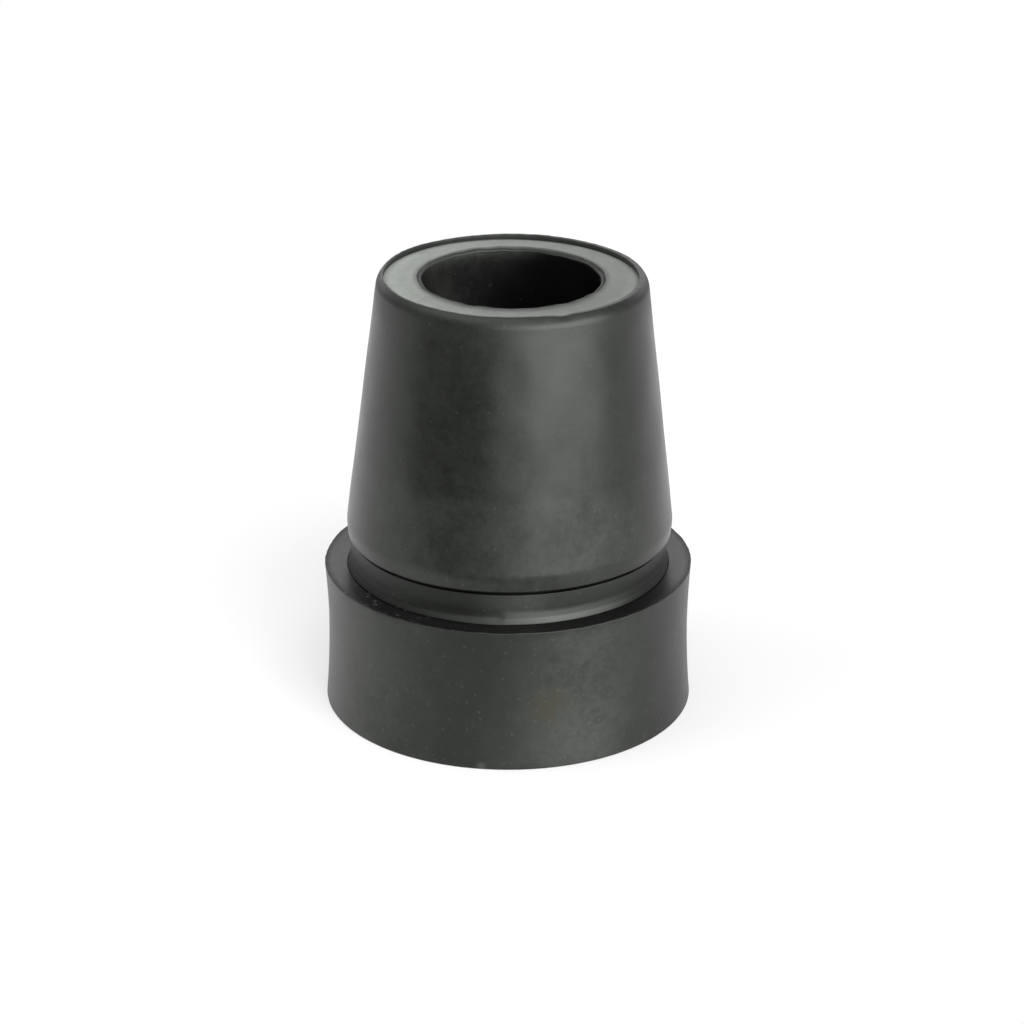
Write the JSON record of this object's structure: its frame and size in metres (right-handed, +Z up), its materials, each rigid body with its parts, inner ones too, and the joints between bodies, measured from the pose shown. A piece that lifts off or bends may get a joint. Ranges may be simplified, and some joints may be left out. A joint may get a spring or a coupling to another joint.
{
  "type": "rubber cane tip",
  "caption": "Moulded rubber tip for the foot of a walking cane: tapered barrel with a blind socket, necked groove, waisted round base and ring tread.",
  "frame": {"origin": "centre of the tread, on the ground that the tip stands on", "axes": "+Z up along the socket's axis, towards the cane; the tip is round, so X and Y are free"},
  "size_m": [0.0384, 0.0384, 0.0465],
  "materials": {
    "black_rubber": "satin moulded rubber"
  },
  "bodies": {
    "root": {"cane_tip": "black_rubber"}
  },
  "joints": []
}
